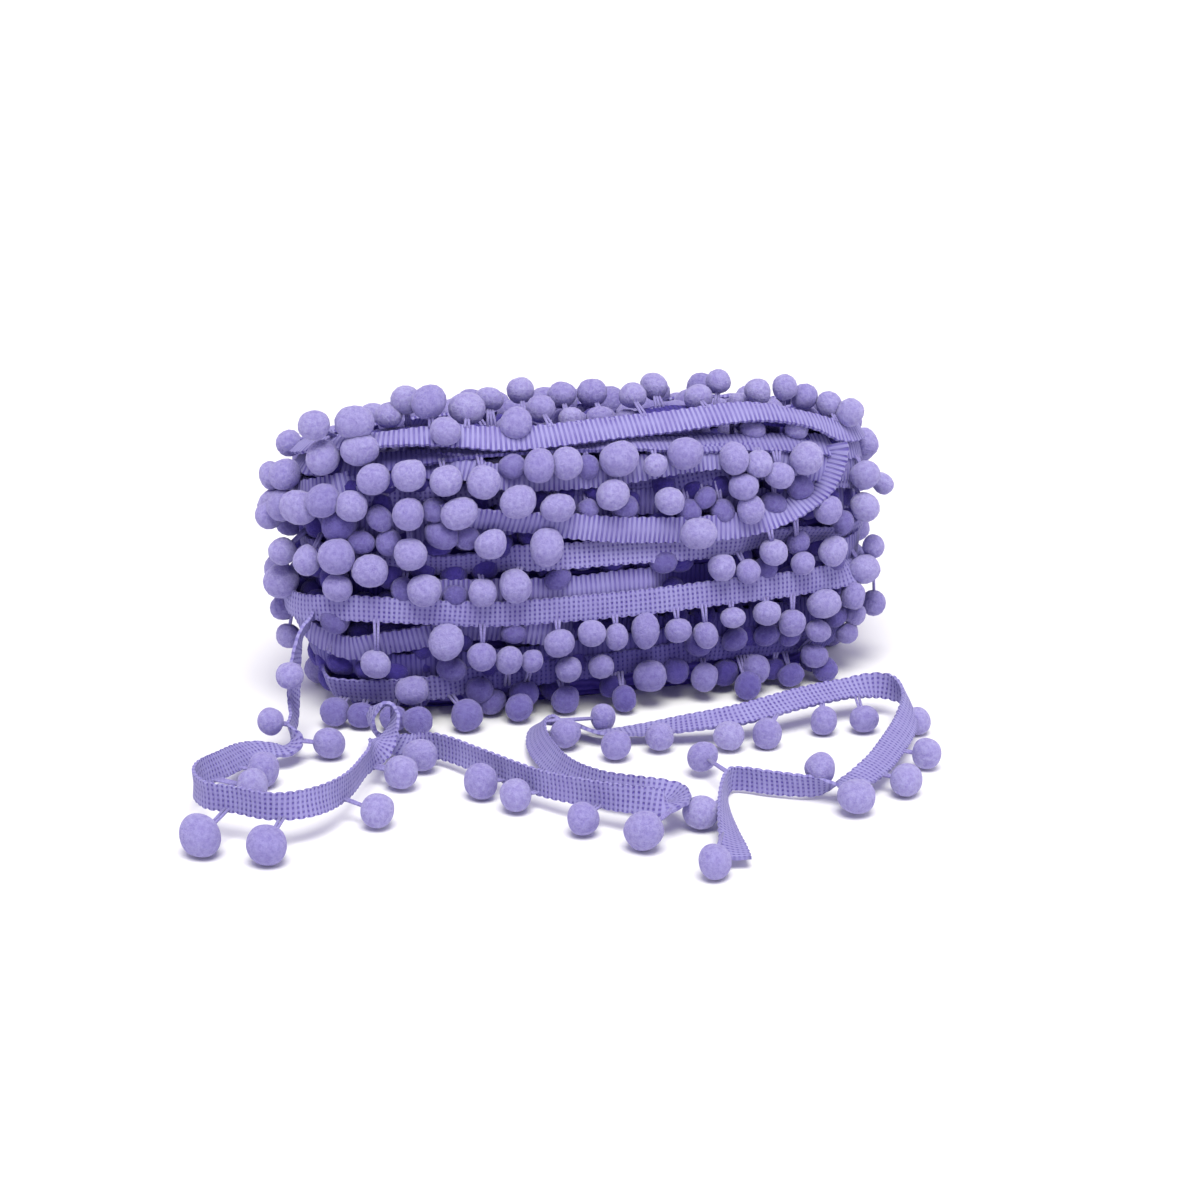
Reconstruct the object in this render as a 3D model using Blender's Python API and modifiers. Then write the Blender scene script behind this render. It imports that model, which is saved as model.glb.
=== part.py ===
"""Pompom fringe trim: a long tape edged with pompoms, wound into an oblong hank, its loose end laid in front.

The hank stands on its flat underside, centred on the origin, with its long side along X and its
front towards -Y. Metres, +Z up. The tables below are in millimetres.
"""

import math
from collections import namedtuple

import bmesh
import bpy
from mathutils import Vector

MM = 0.001
UP = Vector((0.0, 0.0, 1.0))

# The trim
TAPE_WIDTH = 7.0 * MM
TAPE_THICKNESS = 1.0 * MM
TIE_RADIUS = 0.5 * MM
CLEARANCE = 0.4 * MM

# The hank
LUMPS_AROUND = 24
COLUMNS_PER_LUMP = 4
STEPS_PER_COLUMN = 8
LUMP_ROUNDNESS = 0.5
LEFT_END_SQUARENESS = 2.6
RIGHT_END_SQUARENESS = 3.4

# The hank's outline at each level, from the underside to the hollow of the crown. Left, middle and
# right are its heights along the hank. Out and up are how far single pompoms stand clear of it, and
# shift is the part of a pompom's pitch that they are moved round.
Turn = namedtuple("Turn", "name left middle right length depth out up shift")
HANK_TURNS = (
    Turn("underside", 0, 0, 0, 150, 46, 0, 0, 0),
    Turn("first pompoms", 2.5, 2.5, 2.5, 161, 53, 5, 0, 0.25),
    Turn("first pompoms", 9, 6.5, 7, 163, 54, 5, 0, 0.25),
    Turn("first tape", 14, 8.5, 10, 160, 54, 0, 0, 0),
    Turn("first tape", 21, 14, 15.5, 162, 55, 0, 0, 0),
    Turn("second pompoms", 23.5, 16.5, 17.5, 164, 56, 4, 0, 0.75),
    Turn("second pompoms", 27, 20, 21, 166, 57, 6.5, 0, 0.75),
    Turn("second pompoms", 31, 23.5, 24.5, 166, 56, 4, 0, 0.75),
    Turn("second tape", 34, 26, 27, 164, 56, 0, 0, 0),
    Turn("second tape", 40, 33, 33, 164, 56, 0, 0, 0),
    Turn("third pompoms", 42.5, 35, 36, 167, 56, 6, 0, 0.25),
    Turn("third pompoms", 47, 39.5, 41.5, 167, 56, 6, 0, 0.25),
    Turn("third tape", 50, 42, 44.5, 164, 56, 0, 0, 0),
    Turn("third tape", 54, 50, 50, 164, 56, 0, 0, 0),
    Turn("fourth pompoms", 56, 52, 51.5, 166, 56, 4, 0, 0.75),
    Turn("fourth pompoms", 59, 55, 54.5, 166, 57, 6.5, 0, 0.75),
    Turn("fourth pompoms", 62, 58, 57.5, 164, 56, 4, 0, 0.75),
    Turn("fourth tape", 63.5, 59.5, 59, 162, 55, 0, 0, 0),
    Turn("fourth tape", 66, 63, 61.5, 160, 54, 0, 0, 0),
    Turn("fifth pompoms", 67.5, 64.5, 63, 161, 54, 5, 0, 0.25),
    Turn("fifth pompoms", 71, 68.5, 66, 158, 52, 5, 0, 0.25),
    Turn("fifth tape", 72.5, 70, 67.5, 154, 50, 0, 0, 0),
    Turn("fifth tape", 77, 77, 71, 148, 44, 0, 0, 0),
    Turn("outer turn of the crown", 78, 79.5, 73, 146, 42, 3, 4, 0.75),
    Turn("outer turn of the crown", 79, 82, 75, 138, 36, 0, 5, 0.75),
    Turn("crown groove", 77, 80, 75, 128, 28, 0, 0, 0),
    Turn("inner turn of the crown", 79, 82, 78, 118, 20, 0, 5, 0.25),
    Turn("hollow of the crown", 76, 78, 75, 106, 8, 0, 0, 0),
)

# The loose end, from the hank to its cut end. X, y and height place the middle of the tape.
# Edge x, y and z point from the middle towards the edge that carries the pompoms.
Fold = namedtuple("Fold", "name x y height edge_x edge_y edge_z")
FOLDS = (
    Fold("leaves the hank", -80.7, -18.9, 24.5, -1, -2, 0),
    Fold("hangs", -83, -22, 15.5, -3, -4, 1),
    Fold("foot", -85.5, -31.5, 7, -1, -3, 0),
    Fold("turns left", -89, -42, 4.5, -1, -5, 0),
    Fold("left loop, back", -97, -43.5, 5.6, 0, -4, -1),
    Fold("left loop, back", -108, -55.5, 7.6, 1, -1, -2),
    Fold("left loop, end", -117, -68, 9.5, 0, 0, -1),
    Fold("left loop, end", -117, -81, 10.5, 0, 0, -1),
    Fold("left loop, front", -111, -87, 10.8, 0, 0, -1),
    Fold("left loop, front", -103, -94, 10.8, 0, 0, -1),
    Fold("left loop, front", -93, -92, 10, 0, -1, -3),
    Fold("climbs", -83, -81.5, 8.5, 0, -4, -1),
    Fold("climbs", -74, -65, 7.5, 0, -1, 0),
    Fold("curl", -66, -53, 9, 0, -1, 0),
    Fold("curl", -63, -49, 12.5, 0, -3, 1),
    Fold("curl", -64, -46.5, 15, 0, -3, 1),
    Fold("curl", -67.5, -44.5, 12, 0, -3, 1),
    Fold("curl", -66, -43, 6, 0, -1, 0),
    Fold("under the curl", -60, -48, 4.3, 0, -2, -1),
    Fold("first run", -53, -54, 5.4, 0, 0, -1),
    Fold("first run", -46, -68, 6, 0, 0, -1),
    Fold("first run", -36, -90, 7.2, 0, 0, -1),
    Fold("first run", -25, -105, 8.6, 0, 0, -1),
    Fold("fold", -17, -112, 9, 0, -1, -3),
    Fold("fold", -10.5, -113, 8, 3, -2, 0),
    Fold("fold", -8, -105.5, 7.2, 1, 2, 1),
    Fold("second run", -14.5, -101, 7.2, 0, 1, 2),
    Fold("second run", -22.5, -93.5, 6.8, 0, 1, 2),
    Fold("second run", -27.5, -81, 6, 1, 1, 2),
    Fold("second run", -28.5, -63.5, 5.4, 1, 0, 1),
    Fold("turns right", -26.5, -50.5, 5, 1, 0, 1),
    Fold("turns right", -21.5, -42, 4.6, 1, -1, 1),
    Fold("turns right", -16, -44, 4.2, 0, -4, 1),
    Fold("third run", -9.5, -51, 3.4, 0, -4, 1),
    Fold("third run", 0.5, -53, 3.5, 0, -1, 0),
    Fold("third run", 12.5, -57, 5.6, 0, -4, -1),
    Fold("third run", 26, -59, 7.2, 0, -2, -1),
    Fold("third run", 43, -55.5, 8.4, 0, -2, -1),
    Fold("third run", 58.5, -52, 8.4, 0, -3, -1),
    Fold("right end", 68, -53, 8.3, 1, -4, -1),
    Fold("right end", 70, -63, 8, 1, -1, -2),
    Fold("comes forward", 64.5, -76, 7, 2, -1, -2),
    Fold("comes forward", 53, -92, 6, 2, -1, -1),
    Fold("comes forward", 45, -101, 5.5, 2, -2, -1),
    Fold("turns back", 37, -106, 4.8, 0, -1, 0),
    Fold("fourth run", 29, -104.5, 4.5, 0, -1, 2),
    Fold("fourth run", 19.5, -98.5, 4.2, 0, -1, 4),
    Fold("corner", 12.5, -93.5, 4.2, 0, -1, 4),
    Fold("corner", 9.5, -95.5, 4.3, 0, 0, 1),
    Fold("last run", 5.5, -105, 4.4, -1, 0, 3),
    Fold("last run", 1.5, -119, 4, -1, 0, 1),
    Fold("cut end", -3, -138, 3.2, -1, 0, 0),
)
SECTIONS_PER_FOLD = 3

# Where each pompom of the loose end leaves the tape, measured along it, and where its middle lies.
Pompom = namedtuple("Pompom", "along x y height diameter")
LOOSE_POMPOMS = (
    Pompom(16, -86, -31.7, 20, 7.2),
    Pompom(26, -91.8, -34.4, 9.3, 7.6),
    Pompom(32, -78.5, -41.5, 4.4, 8.4),
    Pompom(54, -98, -55, 4.4, 8.4),
    Pompom(65, -103, -65, 4.6, 8.8),
    Pompom(95, -120.5, -94, 5.2, 10),
    Pompom(110, -106.5, -103, 5.2, 10),
    Pompom(132, -77, -89, 4.6, 8.8),
    Pompom(156, -65.5, -66.5, 4.7, 9),
    Pompom(203, -58.5, -57, 4.6, 8.8),
    Pompom(231, -48.5, -78.5, 4.5, 8.6),
    Pompom(244, -42.5, -89, 4.4, 8.4),
    Pompom(263, -31, -108, 4.5, 8.6),
    Pompom(281, -20, -121, 5.2, 10),
    Pompom(358, -8, -42, 5.4, 8),
    Pompom(372, -19, -52, 4.2, 8),
    Pompom(386, -9, -63, 4.2, 8),
    Pompom(399, 3, -63, 4.2, 8),
    Pompom(414, 20.5, -66.8, 4.2, 8),
    Pompom(426, 30.5, -66.5, 4.2, 8),
    Pompom(440, 47.5, -61.5, 3.9, 7.4),
    Pompom(451, 58, -63.5, 3.8, 7.2),
    Pompom(476, 74.6, -70.6, 4.1, 7.6),
    Pompom(500, 63.5, -92, 4.1, 7.8),
    Pompom(516, 52, -107, 4.3, 8.2),
    Pompom(529, 35.5, -115, 4.8, 9.2),
    Pompom(536, 32.5, -102.5, 9.8, 8.8),
    Pompom(558, 8.5, -80, 5.5, 8.2),
    Pompom(575, -3.4, -112.5, 4.5, 8.4),
    Pompom(591, -9.5, -141, 4.6, 8.8),
)
BALL_SIDES = 8
BALL_BANDS = 5

Finish = namedtuple("Finish", "name colour roughness")
WOUND_YARN = Finish("wound yarn", (0.30, 0.27, 0.60, 1.0), 0.9)
TAPE_YARN = Finish("tape yarn", (0.36, 0.33, 0.67, 1.0), 0.85)
POMPOM_YARN = Finish("pompom yarn", (0.40, 0.36, 0.72, 1.0), 0.95)


def yarn_material(finish):
    """A plain matte yarn, made once for each finish."""
    material = bpy.data.materials.get(finish.name)
    if material is None:
        material = bpy.data.materials.new(finish.name)
        material.use_nodes = True
        shader = material.node_tree.nodes["Principled BSDF"]
        shader.inputs["Base Color"].default_value = finish.colour
        shader.inputs["Roughness"].default_value = finish.roughness
        shader.inputs["Metallic"].default_value = 0.0
        material.diffuse_color = finish.colour
    return material


def add_piece(name, shape, finish, collection):
    """Turns a bmesh into a named object with its material."""
    mesh = bpy.data.meshes.new(name)
    shape.to_mesh(mesh)
    shape.free()
    mesh.materials.append(yarn_material(finish))
    piece = bpy.data.objects.new(name, mesh)
    collection.objects.link(piece)
    return piece


def blend(start, end, share):
    return start + (end - start) * share


def plan_point(angle):
    """A point of the hank's plan, which reaches 1 each way. Its right end is squarer than its left."""
    across, along = math.sin(angle), math.cos(angle)
    power = 2 / (RIGHT_END_SQUARENESS if along > 0 else LEFT_END_SQUARENESS)
    x = math.copysign(abs(along) ** power, along)
    y = math.copysign(abs(across) ** power, across)
    return Vector((x, y, 0.0))


def even_plan(count):
    """Points spaced evenly round the hank's plan, as if round its widest turn."""
    widest = max(HANK_TURNS, key=lambda turn: turn.length)
    scale = Vector((widest.length, widest.depth, 0.0))
    steps = STEPS_PER_COLUMN * count
    fine = [plan_point(2 * math.pi * step / steps) for step in range(steps + 1)]
    reached = [0.0]
    for start, end in zip(fine, fine[1:]):
        reached.append(reached[-1] + ((end - start) * scale).length)
    points = []
    step = 0
    for index in range(count):
        target = reached[-1] * index / count
        while reached[step + 1] < target:
            step += 1
        share = (target - reached[step]) / (reached[step + 1] - reached[step])
        points.append(fine[step].lerp(fine[step + 1], share))
    return points


def turn_point(turn, spot, column):
    """Where a column of the hank's plan meets one of its turns."""
    end = turn.right if spot.x > 0 else turn.left
    height = blend(turn.middle, end, spot.x * spot.x)
    outward = Vector((spot.x * turn.depth, spot.y * turn.length, 0.0)).normalized()
    ripple = 0.5 + 0.5 * math.cos(2 * math.pi * (column / COLUMNS_PER_LUMP + turn.shift))
    stand = ripple**LUMP_ROUNDNESS
    place = Vector((spot.x * turn.length / 2, spot.y * turn.depth / 2, height))
    return (place + outward * turn.out * stand + UP * turn.up * stand) * MM


def build_hank(collection):
    """The wound hank: its underside's outline, drawn up through every turn and closed in the crown."""
    plan = even_plan(LUMPS_AROUND * COLUMNS_PER_LUMP)
    shape = bmesh.new()
    columns = shape.verts.layers.int.new("column")
    bmesh.ops.create_circle(shape, cap_ends=True, segments=len(plan), radius=1.0)
    shape.verts.ensure_lookup_table()
    for column, vert in enumerate(shape.verts):
        vert[columns] = column
        vert.co = turn_point(HANK_TURNS[0], plan[column], column)
    rim = list(shape.edges)
    for turn in HANK_TURNS[1:]:
        grown = bmesh.ops.extrude_edge_only(shape, edges=rim)["geom"]
        rim = [item for item in grown if isinstance(item, bmesh.types.BMEdge)]
        for vert in {vert for edge in rim for vert in edge.verts}:
            vert.co = turn_point(turn, plan[vert[columns]], vert[columns])
    bmesh.ops.contextual_create(shape, geom=rim)
    bmesh.ops.recalc_face_normals(shape, faces=shape.faces)
    return add_piece("wound_hank", shape, WOUND_YARN, collection)


def loose_sections():
    """Middle points of the loose tape on a curve through its folds, with the way to its pompom edge."""
    middles = [Vector((fold.x, fold.y, fold.height)) * MM for fold in FOLDS]
    edges = [Vector((fold.edge_x, fold.edge_y, fold.edge_z)).normalized() for fold in FOLDS]
    last = len(FOLDS) - 1
    sections = []
    for index in range(last):
        start, end = middles[index], middles[index + 1]
        span = (end - start).length
        leave = (end - middles[max(index - 1, 0)]).normalized() * span
        arrive = (middles[min(index + 2, last)] - start).normalized() * span
        for step in range(SECTIONS_PER_FOLD):
            t = step / SECTIONS_PER_FOLD
            middle = (
                start * (2 * t**3 - 3 * t**2 + 1)
                + leave * (t**3 - 2 * t**2 + t)
                + end * (3 * t**2 - 2 * t**3)
                + arrive * (t**3 - t**2)
            )
            sections.append((middle, edges[index].lerp(edges[index + 1], t)))
    sections.append((middles[last], edges[last]))

    squared = []
    for index, (middle, edge) in enumerate(sections):
        before, after = sections[max(index - 1, 0)][0], sections[min(index + 1, len(sections) - 1)][0]
        run = (after - before).normalized()
        squared.append((middle, (edge - run * edge.dot(run)).normalized()))
    return squared


def build_tape(sections, collection):
    """The loose tape: one edge extruded along the sections, then thickened."""
    half = TAPE_WIDTH / 2
    middle, edge = sections[0]
    shape = bmesh.new()
    across = shape.edges.new([shape.verts.new(middle - edge * half), shape.verts.new(middle + edge * half)])
    for middle, edge in sections[1:]:
        grown = bmesh.ops.extrude_edge_only(shape, edges=[across])["geom"]
        across = next(item for item in grown if isinstance(item, bmesh.types.BMEdge))
        plain, fringed = sorted(across.verts, key=lambda vert: vert.co.dot(edge))
        plain.co = middle - edge * half
        fringed.co = middle + edge * half
    tape = add_piece("loose_tape", shape, TAPE_YARN, collection)
    wall = tape.modifiers.new("Yarn thickness", "SOLIDIFY")
    wall.thickness = TAPE_THICKNESS
    wall.offset = 0.0
    return tape


def point_along(sections, distance):
    """The tape's middle and the way to its pompom edge at a distance along it."""
    for (start, start_edge), (end, end_edge) in zip(sections, sections[1:]):
        span = (end - start).length
        if distance <= span:
            break
        distance -= span
    share = min(distance / span, 1.0)
    return start.lerp(end, share), start_edge.lerp(end_edge, share).normalized()


def build_pompom(number, pompom, sections, collection):
    """A pompom with the tie that holds it to the tape, as one profile turned about the line of the tie."""
    radius = pompom.diameter * MM / 2
    heart = Vector((pompom.x, pompom.y, pompom.height)) * MM
    middle, edge = point_along(sections, pompom.along * MM)
    rim = middle + edge * TAPE_WIDTH / 2
    lean = (heart - rim).normalized().dot(edge)
    aside = math.sqrt(1 - lean * lean)
    if lean > 0:
        lift = CLEARANCE + TIE_RADIUS * aside
    else:
        lift = (CLEARANCE + TIE_RADIUS - TAPE_THICKNESS / 2 * lean) / aside
    seat = rim + edge * lift
    reach = (heart - seat).length

    profile = [Vector((0.0, 0.0, -reach)), Vector((TIE_RADIUS, 0.0, -reach))]
    neck = math.asin(TIE_RADIUS / radius)
    for band in range(BALL_BANDS):
        tilt = blend(neck, math.pi, band / BALL_BANDS)
        profile.append(Vector((radius * math.sin(tilt), 0.0, -radius * math.cos(tilt))))
    profile.append(Vector((0.0, 0.0, radius)))

    shape = bmesh.new()
    verts = [shape.verts.new(point) for point in profile]
    edges = [shape.edges.new(pair) for pair in zip(verts, verts[1:])]
    bmesh.ops.spin(
        shape,
        geom=verts + edges,
        cent=(0.0, 0.0, 0.0),
        axis=UP,
        angle=2 * math.pi,
        steps=BALL_SIDES,
        use_merge=True,
    )
    bmesh.ops.remove_doubles(shape, verts=shape.verts, dist=0.01 * MM)
    bmesh.ops.recalc_face_normals(shape, faces=shape.faces)
    piece = add_piece(f"loose_pompom_{number:02d}", shape, POMPOM_YARN, collection)
    piece.location = heart
    piece.rotation_mode = "QUATERNION"
    piece.rotation_quaternion = UP.rotation_difference(heart - seat)
    return piece


def main():
    for item in list(bpy.data.objects):
        bpy.data.objects.remove(item, do_unlink=True)
    collection = bpy.data.collections.new("Pompom fringe trim")
    bpy.context.scene.collection.children.link(collection)
    build_hank(collection)
    sections = loose_sections()
    build_tape(sections, collection)
    for number, pompom in enumerate(LOOSE_POMPOMS, start=1):
        build_pompom(number, pompom, sections, collection)


main()
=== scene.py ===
"""Pompom fringe trim, finished: the wound hank and its loose end in crocheted tape, tie threads and pompoms.

Lengths in the tables are in millimetres. What is made is in metres, +Z up, in the frame's own place.
"""

import itertools
import math
from collections import namedtuple

import bmesh
import bpy
import numpy as np
from mathutils import Matrix, Vector


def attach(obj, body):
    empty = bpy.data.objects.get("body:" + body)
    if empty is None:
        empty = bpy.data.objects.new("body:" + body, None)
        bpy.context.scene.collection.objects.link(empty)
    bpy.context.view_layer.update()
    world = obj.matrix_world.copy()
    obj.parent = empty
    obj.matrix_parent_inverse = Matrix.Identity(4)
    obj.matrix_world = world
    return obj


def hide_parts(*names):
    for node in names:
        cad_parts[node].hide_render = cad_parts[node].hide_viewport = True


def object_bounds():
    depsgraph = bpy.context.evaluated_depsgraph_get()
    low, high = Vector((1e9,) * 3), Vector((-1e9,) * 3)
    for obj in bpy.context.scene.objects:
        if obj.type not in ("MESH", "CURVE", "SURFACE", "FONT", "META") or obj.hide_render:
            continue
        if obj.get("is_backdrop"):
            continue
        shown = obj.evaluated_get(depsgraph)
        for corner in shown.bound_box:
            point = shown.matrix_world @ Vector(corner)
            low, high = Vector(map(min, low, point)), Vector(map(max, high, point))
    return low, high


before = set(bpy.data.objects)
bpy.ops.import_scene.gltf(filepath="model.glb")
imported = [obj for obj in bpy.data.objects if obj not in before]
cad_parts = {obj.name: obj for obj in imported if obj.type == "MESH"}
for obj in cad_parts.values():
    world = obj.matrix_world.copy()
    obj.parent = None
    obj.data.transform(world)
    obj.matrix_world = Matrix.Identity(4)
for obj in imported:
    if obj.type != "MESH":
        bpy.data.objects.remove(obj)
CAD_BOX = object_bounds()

bl_info = {
    "name": "Pompom fringe trim",
    "version": (1, 0, 0),
    "blender": (4, 5, 0),
    "location": "3D View > Sidebar > Trim",
    "description": "Makes a wound hank of pompom fringe with its loose end",
    "category": "Object",
}

MM = 0.001
FULL_TURN = 2 * math.pi
BODY = "root"

# ---- The trim's places and sizes, in tables ----


def table(name, columns, *rows):
    """The rows of a table, with names for their columns."""
    kind = namedtuple(name, columns)
    return [kind(*row) for row in rows]


# The wound form: the outline of the turns of tape at each height, without the pompoms.
WOUND_RINGS = table(
    "Ring", "height length depth",
    (0, 138, 42), (4, 144, 48), (12, 151, 53), (30, 156, 56), (50, 156, 56), (64, 154, 54), (72, 146, 49),
    (79, 134, 40), (84, 116, 30),
)
LEFT_END_SQUARENESS = 2.4
RIGHT_END_SQUARENESS = 3.2

# Runs of tape. Each is a line on the wound form through its places: how far round the hank from the middle of
# its front, to the right, how high the tape's middle is, and how its upper edge leans outwards, in degrees.
# Back is its height and lean at the middle of the back, and out is how far it lies off the form. Fringe is +1
# where the pompoms are on its upper edge.
BACK = 195
ENDS_IN_FRONT = "slack turn"
RUNS = table(
    "Run", "name out fringe open_face back places",
    ("first turn", 1.0, -1, True, (11, 0), ((-118, 12, 0), (-97, 10, 8), (-86, 9, 12), (-72, 8.5, 0),
        (-60, 9, -4), (-47, 10, -4), (-20, 11, -4), (14, 12, -4), (26, 13, -4), (44, 12, 0), (58, 11, 0),
        (70, 10, 0), (90, 10, 0), (118, 11, 0))),
    ("lowest inner turn", -2.5, -1, False, (16, 0), ((-100, 18, 8), (-60, 15, 10), (0, 16, 0),
        (30, 17, -10), (66, 16, 0), (110, 17, 0))),
    ("under turn", 0.2, -1, False, (20, 0), ((-112, 25, 0), (-96, 28, 0), (-88, 27.5, 0), (-81, 23.5, 6),
        (-70, 20.5, 10), (-62, 21.5, 12), (-54, 22.5, 12), (-39, 25, 14), (-15, 23, 0), (30, 19, -8),
        (66, 20, 0), (110, 21, 0))),
    ("long turn", 1.6, -1, True, (30, 0), ((-118, 33, 0), (-94, 30.5, 0), (-82, 30.5, -6), (-70, 32, -6),
        (-50, 31.7, -3), (-30, 30.3, -4), (-8, 30, -6), (14, 30, -8), (36, 30.2, -6), (58, 30.2, -6),
        (68, 29.8, -30), (77, 30.5, -62), (86, 31, -62), (98, 31, -20), (118, 31, 0))),
    ("lining turn", -0.8, -1, False, (37, 0), ((-110, 38, 0), (-60, 37, 0), (-14, 34.4, -6), (8, 34.8, -8),
        (28, 33, -8), (50, 33, 0), (66, 35, 0), (110, 37, 0))),
    ("middle turn", 0.2, -1, True, (45, 0), ((-110, 46, 0), (-70, 44, 10), (-44, 42.5, 30), (-31, 43, 20),
        (-20, 44, -4), (-2, 44, -10), (22, 43.3, -6), (36, 43, 16), (54, 42, 36), (68, 39.5, 30),
        (90, 40, 0), (118, 44, 0))),
    ("slack turn", 2.4, -1, False, (51, 0), ((-118, 53, 0), (-96, 52, 4), (-78, 53, 6), (-56, 57, 6),
        (-34, 56, 38), (-19, 54, 32), (-8, 52, 4), (2, 50.3, 0), (13, 49.3, 0), (24, 48.6, -6),
        (35, 48.4, -12), (46, 50, -42), (54, 52.2, -68), (60, 55.4, -76), (63.5, 60, -75), (66, 66, -66))),
    ("inner turn", -2.6, -1, False, (53, 0), ((-110, 55, 0), (-50, 52, 0), (0, 56, 0), (30, 55, -8),
        (66, 50, 0), (110, 50, 0))),
    ("rising turn", -1.0, -1, True, (60, 0), ((-110, 62, 0), (-50, 60, 0), (-13, 63, -14), (-2, 61.4, -14),
        (9, 60.2, -10), (20, 61, -10), (33, 62.6, -10), (46, 62, 0), (66, 57, 0), (92, 52, 0), (118, 54, 0))),
    ("third from top", 0.0, -1, False, (64, 0), ((-118, 61, 0), (-100, 58, 0), (-90, 58.5, 0),
        (-78, 61.5, -6), (-68, 64.5, -10), (-58, 67.5, -14), (-49, 69.5, -20), (-40, 69, -20),
        (-30, 66, -10), (0, 65, 0), (40, 66, 0), (66, 59, 0), (110, 60, 0))),
    ("second from top", -0.6, -1, False, (63, -10), ((-118, 64, -10), (-84, 68, -20), (-56, 71.5, -45),
        (-40, 72.3, -62), (-18, 72.3, -66), (-2, 71.8, -58), (10, 71.2, -50), (22, 70.4, -44),
        (34, 70, -42), (50, 68.4, -42), (64, 66, -30), (72, 64, -15), (92, 61, -10), (118, 62, -10))),
    ("top turn", 0.8, 1, False, (67, -20), ((-130, 67, -20), (-112, 68, -20), (-90, 71, -30),
        (-77, 74, -42), (-63, 75.2, -44), (-46, 75.4, -24), (-30, 74.6, -10), (-7, 75, -12), (18, 76, -16),
        (42, 76, -24), (54, 74.5, -34), (62, 72.2, -38), (72, 68, -20), (90, 66, -10), (118, 66, -14))),
    ("crown turn", -6.0, 1, True, (69, -60), ((-110, 71, -60), (-70, 79, -50), (-30, 79, -50),
        (0, 78, -50), (24, 80, -40), (50, 76, -60), (80, 71, -60), (110, 69, -60))),
    ("heart turn", -15.0, 1, False, (68, -70), ((-100, 70, -70), (-40, 78, -60), (20, 78, -60),
        (100, 69, -70))),
)

# Where a run dips in behind the pompoms of the turn above: from where to where along the hank, and how deep.
DIPS = {
    "second from top": ((-85, 4, 2.2),),
    "third from top": ((-75, -40, 2.5),),
    "slack turn": ((-204, -165, 6.0), (-110, -42, 5.5)),
    "middle turn": ((-110, -18, 3.0), (34, 84, 2.0)),
    "lining turn": ((-110, -45, 5.0), (10, 66, 4.0)),
    "under turn": ((-66, -20, 1.5), (-16, 125, 3.5)),
    "first turn": ((-130, -76, 5.0), (-46, 130, 2.5)),
    "rising turn": ((-70, 62, 1.8),),
}
DIP_EASE = 9.0

# Rows of pompoms in full painted shade, which show dark through the gaps: how high they are and from where to
# where they go round.
LINING_ROWS = table(
    "LiningRow", "height start end",
    (5, -90, -12), *((height, -BACK, BACK) for height in (13, 22, 31, 40, 49, 58, 66)),
)
LINING_OUT = -4.6
LINING_PITCH = 8.6

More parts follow.
